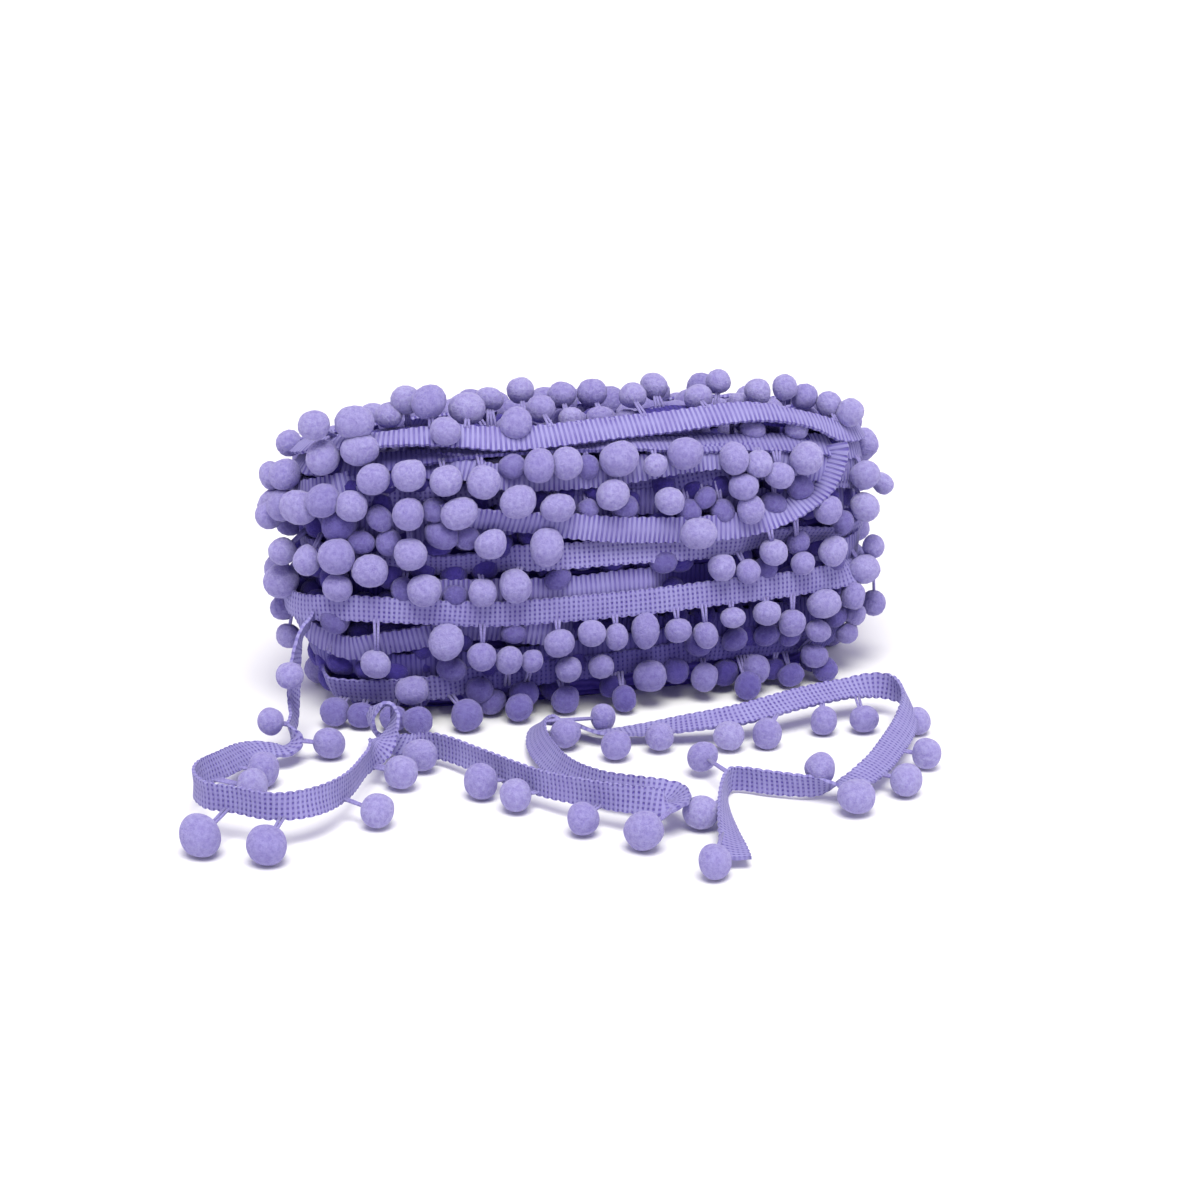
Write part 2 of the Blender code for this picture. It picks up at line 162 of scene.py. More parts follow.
# Rows of pompoms, each carried by a run and standing off the form. A pompom has its place round the hank, its
# height, and how wide and tall its neighbours leave it. Where a row has a drop, it goes on round the ends and
# the back, one pitch apart, that far from the run's middle.
ROUND_FROM, ROUND_TO = 97, -105  # from which place on the right to which on the left
ROWS = table(
    "Row", "run stand drop pitch pompoms",
    ("first turn", 4.0, 6.5, 11.5, ((-54, 11, 9.5, 8), (-28, 18, 7.5, 8), (-22, 17, 6, 7),
        (-12, 14, 7.5, 7.5), (-3, 14, 7, 7), (11, 10, 9.5, 9.5), (28, 8, 8, 8.5), (43, 8, 8, 8),
        (60, 16, 8, 6), (61, 9.5, 8, 6.5))),
    ("first turn", 0.5, None, None, ((-36, 8, 8, 8), (-24, 6, 8, 7), (2, 5.5, 7.5, 6.5), (20, 9, 8, 8),
        (36, 6, 8, 8), (52, 5, 7, 7), (66, 5, 8, 7))),
    ("long turn", 4.4, 7.5, 11.0, ((-62, 18, 9, 8), (-44, 24, 9.5, 10), (-35, 20, 8.5, 8.5),
        (-15, 22, 9, 8), (-6, 24, 8, 7.5), (1, 22, 6.5, 8), (9, 23, 8, 10.5), (18, 22, 7.5, 7.5),
        (26, 20, 7, 8), (33, 24, 7.5, 6.5), (43, 24, 8, 7), (51, 20, 7.5, 8), (60, 24, 10, 8),
        (70, 24, 7, 8))),
    ("under turn", 0.4, None, None, ((-73, 28, 8.5, 7.5), (-43, 15, 8.5, 7), (-26, 24, 7, 6),
        (26, 16, 8, 7), (36, 16, 8, 6.5), (46, 16, 8, 6), (69, 17, 7, 6), (53, 15, 7, 7))),
    ("under turn", 3.0, 6.0, 12.5, ((-93, 19, 7.5, 7.5), (-95, 26, 7, 7.5), (74, 17, 7, 6.5),
        (72, 13, 7, 6.5))),
    ("middle turn", 3.6, 6.5, 11.5, ((-94, 37, 8, 8), (-89, 36, 9.5, 10), (-70, 38, 8.5, 7.5),
        (-62, 43, 10, 9), (-49, 38, 9, 9), (-34, 37, 8.5, 8.5), (-26, 38, 9, 9.5), (30, 38, 8, 8),
        (37, 36, 7, 7), (53, 36, 7, 6.5), (74, 30, 9.5, 8.5))),
    ("middle turn", -0.4, None, None, ((-54, 37, 7, 7), (-41, 35, 7, 6), (-14, 38, 8, 7), (15, 40, 8, 7),
        (44, 35, 7, 7), (66, 34, 7, 7))),
    ("slack turn", 4.4, 6.5, 12.0, ((-85, 45, 7.5, 8), (-77, 45, 7.5, 9), (-70, 47, 10.5, 9.5),
        (-52, 48, 9.5, 9.5), (-32, 50, 9.5, 8.5), (-18, 48, 9.5, 10.5), (23, 48, 10, 8.5), (44, 41, 8, 8),
        (62, 38, 9.5, 8), (78, 35, 6.5, 6.5))),
    ("slack turn", 0.4, None, None, ((-65, 50, 8, 7), (-58, 50, 7.5, 7.5), (-44, 52, 10, 7.5),
        (-38, 51, 7, 7), (53, 41, 7, 6.5), (68, 44, 7, 7))),
    ("rising turn", 4.0, 4.5, 12.0, ((-94, 54, 8.5, 9.5), (-80, 58, 10.5, 9), (-67, 60, 8.5, 9.5),
        (-53, 58, 8.5, 10), (-40, 58, 10.5, 8.5), (-25, 60, 10.5, 8), (-15, 58, 9.5, 7.5), (0, 60, 9.5, 9),
        (15, 57, 8.5, 8), (36, 59, 8.5, 8), (37, 53, 8.5, 8.5), (60, 50, 8, 9), (73, 48, 8, 9.5))),
    ("rising turn", 0.4, None, None, ((-97, 49, 8.5, 8), (-60, 56, 8, 6.5), (-6, 56, 6, 6),
        (4, 55.5, 8, 7), (22, 53, 7, 7), (31, 52, 7, 7), (26, 56, 7, 6), (54, 56, 7.5, 7),
        (46, 52.5, 8, 6.5), (-46, 58, 7, 7))),
    ("third from top", 5.5, None, None, ((-95, 61.5, 8, 8), (-91, 53, 8, 8), (82, 51, 6.5, 7))),
    ("long turn", 6.0, None, None, ((81, 18.5, 7.5, 7.5),)),
    ("second from top", 3.8, 4.5, 11.5, ((-86, 64, 9, 9), (-62, 66, 9, 9), (-53, 67, 10, 8.5),
        (-44, 66, 9, 9), (-34, 65, 9, 9.5), (-20, 68, 9, 10), (-12, 68, 9, 9), (2, 68, 11, 9.5),
        (12, 66, 7, 6.5), (21, 68, 10, 9.5), (34, 66, 8, 9.5), (41, 64, 8.5, 7.5), (46, 61, 8.5, 7.5),
        (54, 64, 9.5, 9.5), (74, 56, 8.5, 9.5))),
    ("second from top", 0.6, None, None, ((-26, 68, 7.5, 7), (-6, 67, 7, 7.5), (66, 60, 7, 7))),
    ("top turn", 3.2, -3.0, 12.0, ((-98, 68, 9, 7.5), (-77, 70, 9.5, 10), (-68, 72.5, 10.5, 8),
        (75, 71.5, 7.5, 9), (90, 60, 8, 9))),
)

# Pompoms that stand up from the crown, front rows first.
STANDING = ("Standing", "x y height wide tall")
CROWN_POMPOMS = table(
    *STANDING,
    (-74, -14, 80.5, 9.5, 8.5), (-64, -16, 80.5, 10.5, 8.5), (-42, -23, 78.5, 8.5, 9),
    (-23, -21, 78, 8.5, 10), (-53, -8, 79.5, 7.5, 7), (-44, -14, 84, 10, 9), (-49, -8, 83, 8.5, 8.5),
    (-34, -14, 81.5, 10, 8.5), (-26, -6, 81, 8, 7), (-14, -13, 79.5, 8, 7.5), (-17, -4, 82.5, 7.5, 7.5),
    (-6, -13, 76, 7.5, 7), (-6, -5, 80.5, 8, 7.5), (2, -13, 75.5, 8, 7), (2, -6, 81, 8, 7.5),
    (11, -12, 81, 8, 7.5), (19, -6, 81.5, 7.5, 8.5), (29, -13, 79.5, 8, 7.5), (36, -9, 82, 7, 7.5),
    (43, -6, 74.5, 7, 7), (46, -11, 79, 8, 8), (50, -12, 74.5, 7, 6.5), (54, -11, 79.5, 7, 8),
    (60, -10, 76, 7, 8), (66, -13, 74.5, 7.5, 7.5), (54, -20, 70.5, 7, 6), (42, -20, 71, 7, 6),
)
CROWN_FRONT = -11  # those further forward are tied to the top turn

# The rest of the crown, in rows from front to back with a pompom about every pitch.
CROWN_ROWS = table(
    "CrownRow", "y height first last pitch",
    (-13, 64.5, -66, 58, 9.5), (-6, 66.5, -72, 58, 9.5), (-6, 71.0, 62, 74, 10), (2, 70.0, -66, 72, 10),
    (9, 67.8, -66, 72, 9.5), (16, 66.0, -64, 68, 9), (22, 64.5, -58, 62, 9), (27, 62.5, -50, 54, 10),
)
CROWN_LAYERS = ((0.0, 0.2), (8.0, 0.7))  # how far each layer lies under the first, and how much painted shade it gets
CROWN_FALL, CROWN_LEVEL, CROWN_END = 5, 42, 66  # how far the rows fall, and between which places along them

# Pompoms that lie on the ground at the foot of the hank.
FOOT_POMPOMS = table(
    *STANDING,
    (-72, -19, 4.3, 8, 8.5), (-53, -32, 4.2, 8.5, 8), (-40, -32, 4.5, 9, 9), (-66, -23, 4, 8, 7),
    (-58, -27, 4, 8, 7), (-31, -24, 4.2, 8.5, 7.5), (-25, -30, 4.2, 8, 7.5), (-12, -27, 4.4, 8, 8.5),
    (3, -31, 4.2, 7, 8), (38, -31, 4, 7.5, 8), (51.5, -26, 4, 8, 7), (62, -23, 4.2, 7, 8),
)
FLOOR_POMPOM_SHADE = 0.3  # how much painted shade they get

# The loose end, from the hank to its cut end: where the middle of the tape lies, and which way from there its
# edge with the pompoms is.
FOLDS = table(
    "Fold", "x y height edge_x edge_y edge_z",
    # From the hank down to the floor
    (-76, -12, 28, -1, -2, 0), (-80.7, -18.9, 24.5, -1, -2, 0), (-83, -22, 15.5, -3, -4, 1),
    (-85.5, -31.5, 7, -1, -3, 0), (-89, -42, 4.5, -1, -5, 0),
    # Left loop
    (-97, -43.5, 5.6, 0, -4, -1), (-108, -55.5, 7.6, 1, -1, -2), (-117, -68, 9.5, 0, 0, -1),
    (-117, -81, 10.5, 0, 0, -1), (-111, -87, 10.8, 0, 0, -1), (-103, -94, 10.8, 0, 0, -1),
    (-93, -92, 10, 0, -1, -3),
    # Climb to the curl, and the curl
    (-83, -81.5, 8.5, 0, 0, -1), (-74, -65, 7.5, -1, 0, -8), (-66, -53, 9, 0, -1, 0),
    (-63, -49, 12.5, 0, -3, 1), (-64, -46.5, 15, 0, -3, 1), (-67.5, -44.5, 12, 0, -3, 1),
    (-66, -43, 6, 0, -1, 0), (-60, -48, 4.3, 0, -2, -1),
    # First run, forwards
    (-53, -54, 5.4, 0, 0, -1), (-46, -68, 6, 0, 0, -1), (-36, -90, 7.2, 0, 0, -1),
    (-25, -105, 8.6, 0, 0, -1),
    # Fold
    (-17, -112, 9, 0, -1, -3), (-10.5, -113, 8, 3, -2, 0), (-8, -105.5, 7.2, 1, 2, 1),
    # Second run, back to the hank
    (-14.5, -101, 7.2, 0, 1, 2), (-22.5, -93.5, 6.8, 0, 1, 2), (-27.5, -81, 6, 1, 1, 2),
    (-28.5, -63.5, 5.4, 1, 0, 1), (-26.5, -50.5, 5, 1, 0, 1), (-21.5, -42, 4.6, 1, -1, 1),
    (-16, -44, 4.2, 0, -4, 1),
    # Third run, along the hank
    (-9.5, -51, 3.4, 0, -4, 1), (0.5, -53, 3.5, 0, -1, 0), (12.5, -57, 5.6, 0, -4, -1),
    (26, -59, 7.2, 0, -2, -1), (43, -55.5, 8.4, 0, -2, -1), (58.5, -52, 8.4, 0, -2, -1),
    # Right end, and forwards
    (68, -53, 8.3, 0.2, -1, -2.5), (70, -63, 8, 1, -0.5, -2.5), (64.5, -76, 7, 2, -1, -2),
    (53, -92, 6, 2, -1, -1), (45, -101, 5.5, 2, -2, -1), (37, -106, 4.8, 0, -1, 0),
    # Fourth run, to the left
    (29, -104.5, 4.5, 0, -1, 2), (19.5, -98.5, 4.2, 0, -1, 4), (12.5, -93.5, 4.2, 0, -1, 4),
    (9.5, -95.5, 4.3, 0, 0, 1),
    # Last run, to the cut end
    (5.5, -105, 4.4, -1, 0, 3), (1.5, -119, 4, -1, 0, 1), (-3, -138, 3.2, -1, 0, 0),
)

# Where each loose pompom leaves the tape, measured from the second fold, and where its middle lies.
LOOSE_POMPOMS = table(
    "LoosePompom", "along x y height diameter",
    (16, -86, -31.7, 20, 7.2), (26, -91.8, -34.4, 9.3, 7.6), (32, -78.5, -41.5, 4.4, 8.4),
    (54, -98, -55, 4.4, 8.4), (65, -103, -65, 4.6, 8.8), (95, -120.5, -94, 5.2, 10),
    (110, -106.5, -103, 5.2, 10), (132, -77, -89, 4.6, 8.8), (156, -65.5, -66.5, 4.7, 9),
    (203, -58.5, -57, 4.6, 8.8), (231, -48.5, -78.5, 4.5, 8.6), (244, -42.5, -89, 4.4, 8.4),
    (263, -31, -108, 4.5, 8.6), (281, -20, -121, 5.2, 10), (358, -7, -44.5, 4.6, 8),
    (372, -19, -52, 4.2, 8), (386, -9, -63, 4.2, 8), (399, 3, -61, 4.2, 8), (414, 20.5, -65.2, 4.2, 8),
    (426, 30.5, -66.5, 4.2, 8), (440, 47.5, -61.5, 3.9, 7.4), (451, 58, -63.5, 3.8, 7.2),
    (476, 70.8, -68.4, 3.9, 7.4), (500, 63.5, -92, 4.1, 7.8), (516, 52, -107, 4.3, 8.2),
    (529, 35.5, -115, 4.8, 9.2), (536, 30.5, -103.5, 8.4, 8.8), (558, 8.5, -80, 5.5, 8.2),
    (575, -3.4, -112.5, 4.5, 8.4), (591, -9.5, -141, 4.6, 8.8),
)


# ---- Sizes and colours that a user would change ----


def number(name, description, default, **limits):
    return bpy.props.FloatProperty(name=name, description=description, default=default, **limits)


def length(name, description, millimetres):
    return number(name, description, millimetres * MM, min=0.0, unit="LENGTH", precision=5)


def angle(name, description, degrees):
    return number(name, description, math.radians(degrees), unit="ROTATION")


def colour(name, description, value):
    return bpy.props.FloatVectorProperty(
        name=name, description=description, default=(*value, 1.0), size=4, min=0.0, max=1.0, subtype="COLOR"
    )


class TrimSizes(bpy.types.PropertyGroup):
    """Sizes of the tape, its pompoms and their ties."""

    tape_width: length("Tape width", "From edge to edge, over the scallops", 7.0)
    tape_thickness: length("Tape thickness", "Of the crocheted tape", 0.8)
    scallop_pitch: length("Scallop pitch", "Length of one scallop of the tape's edges", 2.6)
    scallop_depth: length("Scallop depth", "How far a scallop stands out", 0.4)
    pompom_diameter: length("Pompom diameter", "Of an average pompom", 8.8)
    pompom_spread: number("Pompom spread", "Share by which pompoms differ in size", 0.1, min=0.0, max=0.3)
    thread_diameter: length("Thread diameter", "Of one of the two threads of a tie", 0.8)
    thread_spacing: length("Thread spacing", "Between the two threads of a tie", 1.1)


class TrimColours(bpy.types.PropertyGroup):
    """Colours of the yarn, and of the painted shade on it."""

    pompom: colour("Pompom", "The pile where it is full", (0.41, 0.39, 0.655))
    # Pompom shade is painted shade between the tufts of the pile and in the hollows of the ties' twist; the
    # tape takes it as a darker yarn colour where worn.
    pompom_shade: colour("Pompom shade", "Between tufts of the pile", (0.23, 0.19, 0.465))
    nap: colour("Nap", "The bloom on the pile, seen from the side", (0.78, 0.74, 1.0))
    tape: colour("Tape", "The tape's thick yarn", (0.315, 0.293, 0.58))
    # Tape gap is painted shade in the holes and grooves between the stitches.
    tape_gap: colour("Tape gap", "The holes and grooves between its stitches", (0.10, 0.07, 0.35))
    # Heart and heart shade are painted shade: the inner turns darkened, and darker still between them.
    heart: colour("Heart", "The turns inside the hank", (0.115, 0.078, 0.48))
    heart_shade: colour("Heart shade", "Between the turns inside the hank", (0.04, 0.025, 0.27))
    # Depth is painted shade: what any yarn's colour is multiplied towards deep inside the hank and near the
    # floor.
    depth: colour("Depth", "What is left of any yarn's colour deep inside the hank", (0.17, 0.125, 0.46))


class TrimStage(bpy.types.PropertyGroup):
    """The floor, lights and camera."""

    floor: colour("Floor", "The pale surface it stands on", (0.90, 0.90, 0.91))
    key_strength: number("Key strength", "The soft light from above and in front", 3.15, min=0.0)
    fill_strength: number("Fill strength", "The weaker light from the right", 0.25, min=0.0)
    light_softness: angle("Light softness", "How wide the lights look from the trim", 34)
    light_colour: colour("Light colour", "The key's and the fill's", (1.0, 1.0, 0.88))
    sky: number("Sky", "Strength of the even light from all round", 0.62, min=0.0)
    sky_colour: colour("Sky colour", "The even light's", (0.81, 0.76, 1.0))
    camera_azimuth: angle("Camera azimuth", "To the right of the front", -17)
    camera_elevation: angle("Camera elevation", "Above the floor", 18.5)
    camera_distance: length("Camera distance", "From the point it looks at", 840)


# ---- Materials ----


class Wire:
    """An output socket in a material, so that shader maths reads as a plain expression."""

    def __init__(self, paint, socket):
        self.paint = paint
        self.socket = socket

    def maths(self, operation, *values):
        return self.paint.node("ShaderNodeMath", {"operation": operation}, dict(enumerate(values)))

    def __add__(self, other):
        return self.maths("ADD", self, other)

    __radd__ = __add__

    def __sub__(self, other):
        return self.maths("SUBTRACT", self, other)

    def __rsub__(self, other):
        return self.maths("SUBTRACT", other, self)

    def __mul__(self, other):
        return self.maths("MULTIPLY", self, other)

    __rmul__ = __mul__

    def size(self):
        return self.maths("ABSOLUTE", self)

    def waves(self, pitch):
        """1 at each pitch and 0 half-way between."""
        return self.maths("COSINE", self * (FULL_TURN / pitch)) * 0.5 + 0.5

    def fitted(self, low, high):
        """0 at low, 1 at high and smooth between them."""
        sockets = {"Value": self, "From Min": low, "From Max": high}
        return self.paint.node("ShaderNodeMapRange", {"interpolation_type": "SMOOTHSTEP"}, sockets)


class Paint:
    """A material, with one way to add any of its nodes."""

    def __init__(self, name):
        self.material = bpy.data.materials.new(name)
        self.material.use_nodes = True
        self.tree = self.material.node_tree
        self.shader = self.tree.nodes["Principled BSDF"]

    def node(self, kind, settings=None, sockets=None, output=0):
        """Adds a node, sets it up, feeds its sockets, and returns one of its outputs."""
        node = self.tree.nodes.new(kind)
        for name, value in (settings or {}).items():
            setattr(node, name, value)
        for name, value in (sockets or {}).items():
            self.feed(node.inputs[name], value)
        return Wire(self, node.outputs[output])

    def feed(self, socket, value):
        if isinstance(value, Wire):
            self.tree.links.new(value.socket, socket)
        else:
            socket.default_value = value

    def parts(self, vector):
        """A vector's X, Y and Z."""
        first = self.node("ShaderNodeSeparateXYZ", None, {0: vector})
        return [Wire(self, socket) for socket in first.socket.node.outputs]

    def mix(self, share, first, second, blend="MIX"):
        """The first colour where share is 0, and where it is 1 the second, or the two of them blended."""
        settings = {"data_type": "RGBA", "blend_type": blend}
        return self.node("ShaderNodeMix", settings, {"Factor": share, 6: first, 7: second}, 2)

    def tinted(self, colour, value, low, high):
        """A colour times low where the shape's own value is 0, and times high where it is 1."""
        return self.mix(1.0, colour, self.mix(self.own_value(value), low, high), "MULTIPLY")

    def noise(self, where, cell, detail=2.0, roughness=0.5):
        """Soft noise whose cells are about one cell long, in metres."""
        sockets = {"Vector": where, "Scale": 1.0 / cell, "Detail": detail, "Roughness": roughness}
        return self.node("ShaderNodeTexNoise", None, sockets)

    def own_place(self):
        return self.node("ShaderNodeTexCoord", None, None, "Object")

    def own_value(self, name):
        return self.node("ShaderNodeAttribute", {"attribute_name": name}, None, "Fac")

    def relief(self, height, depth, under=None):
        """A Bump node: height goes from 0 to 1, and depth is that in metres."""
        sockets = {"Height": height, "Distance": depth, "Strength": 1.0}
        if under is not None:
            sockets["Normal"] = under
        return self.node("ShaderNodeBump", None, sockets)

    def finish(self, **sockets):
        """Feeds the shader. A name's underscores stand for spaces."""
        for name, value in sockets.items():
            self.feed(self.shader.inputs[name.replace("_", " ")], value)
        return self.material


WHITE = (1.0, 1.0, 1.0, 1.0)
DARKEST_TONE = (0.82, 0.80, 0.90, 1.0)  # what tints the darkest pompoms, the hank's shade apart
TUFT, FIBRE = 1.1 * MM, 0.32 * MM  # across one of the pile's
CHAINS_ACROSS = 5.5  # the rows of holes in the tape's open face
INNER_PITCH = 2.3 * MM  # from one tape edge to the next, inside the hank


def pompom_pile(colours):
    """Short cut pile: a mottle of tufts under fine fibres, in painted shade between the tufts, and each
    pompom a little lighter or darker.
    """
    paint = Paint("Pompom pile")
    where = paint.own_place()
    tufts = paint.noise(where, TUFT, 3.0, 0.6)
    fibres = paint.noise(where, FIBRE, 2.0, 0.6)
    full = tufts.fitted(0.25, 0.72) * 0.62 + fibres.fitted(0.2, 0.8) * 0.38
    # Painted shade between the tufts.
    pile = paint.mix(full, colours.pompom_shade, colours.pompom)
    pile = paint.tinted(pile, "tone", DARKEST_TONE, WHITE)
    return paint.finish(
        # painted shade: the pile darkens towards the depth colour as its deep value rises
        Base_Color=paint.tinted(pile, "deep", WHITE, colours.depth), Roughness=0.95,
        Normal=paint.relief(fibres, 0.22 * MM, paint.relief(tufts, 0.5 * MM)),
        Sheen_Weight=0.22, Sheen_Roughness=0.6, Sheen_Tint=colours.nap, Specular_IOR_Level=0.1,
        Subsurface_Weight=0.5, Subsurface_Scale=2.2 * MM, Subsurface_Radius=(1.0, 0.95, 1.15),
    )


def crochet(colours, sizes):
    """The tape's stitches. U runs along it and V across, in metres. Its open face has rows of small square
    holes, and its ribbed face thick bars across. The holes and the grooves between stitches are painted
    shade."""
    paint = Paint("Crocheted tape")
    where = paint.own_place()
    along, across, _ = paint.parts(paint.node("ShaderNodeUVMap", {"uv_map": "weave"}))
    slits = 1 - along.waves(sizes.scallop_pitch / 2).fitted(0.1, 0.62)
    between_chains = 1 - across.waves(sizes.tape_width / CHAINS_ACROSS).fitted(0.15, 0.7)
    from_middle = (across * (2 / sizes.tape_width)).size()
    slack = paint.noise(where, 3.5 * MM).fitted(0.25, 0.75) * 0.35 + 0.65
    ribbed = 1 - slits * slack * (0.5 + 0.5 * from_middle)
    holes = 1 - slits * slack * (0.3 + 0.7 * between_chains)
    open_face = paint.own_value("open_face")
    stitches = ribbed * (1 - open_face) + holes * open_face
    height = stitches * 0.75 + paint.noise(where, 0.5 * MM) * 0.25
    worn = paint.noise(where, 6 * MM).fitted(0.3, 0.7)
    strands = paint.mix(worn * 0.35, colours.tape, colours.pompom_shade)
    # Painted shade in the holes and grooves between stitches.
    surface = paint.mix(stitches, colours.tape_gap, strands)
    return paint.finish(
        # painted shade: the tape darkens towards the depth colour as its deep value rises
        Base_Color=paint.tinted(surface, "deep", WHITE, colours.depth), Roughness=0.8,
        Normal=paint.relief(paint.noise(where, 0.2 * MM), 0.06 * MM, paint.relief(height, 0.35 * MM)),
        Sheen_Weight=0.15, Sheen_Roughness=0.4, Specular_IOR_Level=0.25,
    )


def thread_yarn(colours):
    """The thick twisted threads of the ties."""
    paint = Paint("Tie thread")
    twist = paint.noise(paint.own_place(), 0.45 * MM)
    return paint.finish(
        # Painted shade in the hollows of the twist.
        Base_Color=paint.mix(twist.fitted(0.3, 0.7), colours.pompom_shade, colours.tape), Roughness=0.8,
        Normal=paint.relief(twist, 0.15 * MM), Sheen_Weight=0.15, Specular_IOR_Level=0.25,
    )


def deep_yarn(colours):
    """The turns inside the hank, seen only through the gaps: close lines of tape edges, in painted shade that
    is darker still between them.
    """
    paint = Paint("Deep yarn")
    where = paint.own_place()
    height = paint.parts(where)[2]
    lines = (height + paint.noise(where, 12 * MM) * (5 * MM)).waves(INNER_PITCH)
    light = lines * 0.6 + paint.noise(where, 0.9 * MM) * 0.4
    return paint.finish(
        Base_Color=paint.mix(light, colours.heart_shade, colours.heart), Roughness=0.95,
        Normal=paint.relief(lines, 0.6 * MM), Specular_IOR_Level=0.1,
    )


# ---- Lines and the wound form ----


def unit(vectors):
    return vectors / np.linalg.norm(vectors, axis=-1, keepdims=True)


def curve_through(points, steps):
    """Points of a smooth curve through the given ones, with this many steps between each two, and each one's
    place in the list."""
    points = np.asarray(points, float)
    last = len(points) - 1
    found, where = [], []
    for index in range(last):
        start, end = points[index], points[index + 1]
        span = np.linalg.norm(end - start)
        leave = unit(end - points[max(index - 1, 0)]) * span
        arrive = unit(points[min(index + 2, last)] - start) * span
        t = (np.arange(steps) / steps)[:, None]
        found.append(
            start * (2 * t**3 - 3 * t**2 + 1)
            + leave * (t**3 - 2 * t**2 + t)
            + end * (3 * t**2 - 2 * t**3)
            + arrive * (t**3 - t**2)
        )
        where.append(index + t[:, 0])
    return np.vstack([*found, points[-1:]]), np.append(np.concatenate(where), last)


def travelled(points):
    """The distance to each point, along the line."""
    return np.append(0.0, np.cumsum(np.linalg.norm(np.diff(points, axis=0), axis=1)))


def at_distances(distances, reached, values):
    """Values read off at distances along a line."""
    return np.column_stack([np.interp(distances, reached, column) for column in values.T])


OUTLINE_POINTS = 2881
SLOPE_REACH = 3.0  # how far above and below a place the form's slope is read off


class WoundForm:
    """The hank's surface at the level of its tape."""

    def __init__(self):
        angles = np.linspace(-math.pi / 2, 1.5 * math.pi, OUTLINE_POINTS)
        along, across = np.cos(angles), np.sin(angles)
        self.power = np.where(along > 0, RIGHT_END_SQUARENESS, LEFT_END_SQUARENESS)
        self.x = np.sign(along) * np.abs(along) ** (2 / self.power)
        self.y = np.sign(across) * np.abs(across) ** (2 / self.power)
        widest = max(WOUND_RINGS, key=lambda ring: ring.length)
        outline = np.column_stack([self.x * widest.length / 2, self.y * widest.depth / 2])
        self.reached = travelled(outline)
        self.round = self.reached[-1]

    def half_sizes(self, height):
        heights, lengths, depths = np.array(WOUND_RINGS, float).T
        return np.interp(height, heights, lengths) / 2, np.interp(height, heights, depths) / 2

    def place(self, along, height, out):
        """Points of the form and its normals there. Along runs from the front's middle, to the right."""
        along = np.mod(np.asarray(along, float), self.round)
        height = np.broadcast_to(np.asarray(height, float), along.shape)
        x, y = np.interp(along, self.reached, self.x), np.interp(along, self.reached, self.y)
        power = np.interp(along, self.reached, self.power)
        half_length, half_depth = self.half_sizes(height)
        across = np.sign(x) * np.abs(x) ** (power - 1) / half_length
        deep = np.sign(y) * np.abs(y) ** (power - 1) / half_depth
        flat = unit(np.column_stack([across, deep]))
        length_over, depth_over = self.half_sizes(height + SLOPE_REACH)
        length_under, depth_under = self.half_sizes(height - SLOPE_REACH)
        drawn_in = flat[:, 0] * x * (length_under - length_over) + flat[:, 1] * y * (depth_under - depth_over)
        normals = unit(np.column_stack([flat, drawn_in / (2 * SLOPE_REACH)]))
        points = np.column_stack([x * half_length, y * half_depth, height])
        return points + normals * np.reshape(out, (-1, 1)), normals

    def spot(self, along, height, out):
        """One point of the form."""
        return self.place([along], [height], [out])[0][0]


# ---- Tape ----

HANK_STEPS, LOOSE_STEPS = 20, 12  # from one place of a table to the next
TAPE_LOWEST = 0.9
TAPE_CROWN = 0.25  # how far its middle bulges
SCALLOP_COLUMNS = 4  # of the grid, in each scallop
SCALLOP_ROUNDNESS = 0.7
TIE_INSET = 1.0  # from the tape's edge to the roots of the ties
DEEP = 5.0  # how far inside the form the painted shade on yarn is darkest
WOBBLE = 0.25  # how far a run wanders off its places, in two waves that start elsewhere on each
SWAY = 4.0  # how far its lean does, in degrees
FOOT_SHADE = (0.40, 0.85)  # how dark the painted shade makes yarn at the floor, at the left and from the middle on
FOOT_SHADE_FROM = (-50, 0)
FOOT_SHADE_TOP = 27.0
POMPOM_FOOT_SHADE = 0.6  # the share of that painted shade that pompoms take


class TapeLine:
    """The middle line of a length of tape, in millimetres, with the ways across it and out of its face."""

    def __init__(self, middles, across, faces, open_face, fringe, depth, places=None):
        self.middles = middles
        run = unit(np.gradient(middles, axis=0))
        self.across = unit(across - run * np.sum(across * run, axis=1, keepdims=True))
        faces = faces - run * np.sum(faces * run, axis=1, keepdims=True)
        faces = faces - self.across * np.sum(faces * self.across, axis=1, keepdims=True)
        self.faces = unit(faces)
        self.reached = travelled(middles)
        self.open_face = open_face
        self.fringe = fringe
        # Depth is how much painted shade the tape gets at each point, from 0 to 1.
        self.depth = depth
        self.places = places

    def at(self, distances):
        """Middles, ways across and ways out of the face at distances along the tape."""
        ways = (self.middles, self.across, self.faces)
        return [at_distances(distances, self.reached, values) for values in ways]


def new_shape(*values):
    """An empty shape whose corners have these values of their own."""
    shape = bmesh.new()
    for name in values:
        shape.verts.layers.float.new(name)
    return shape


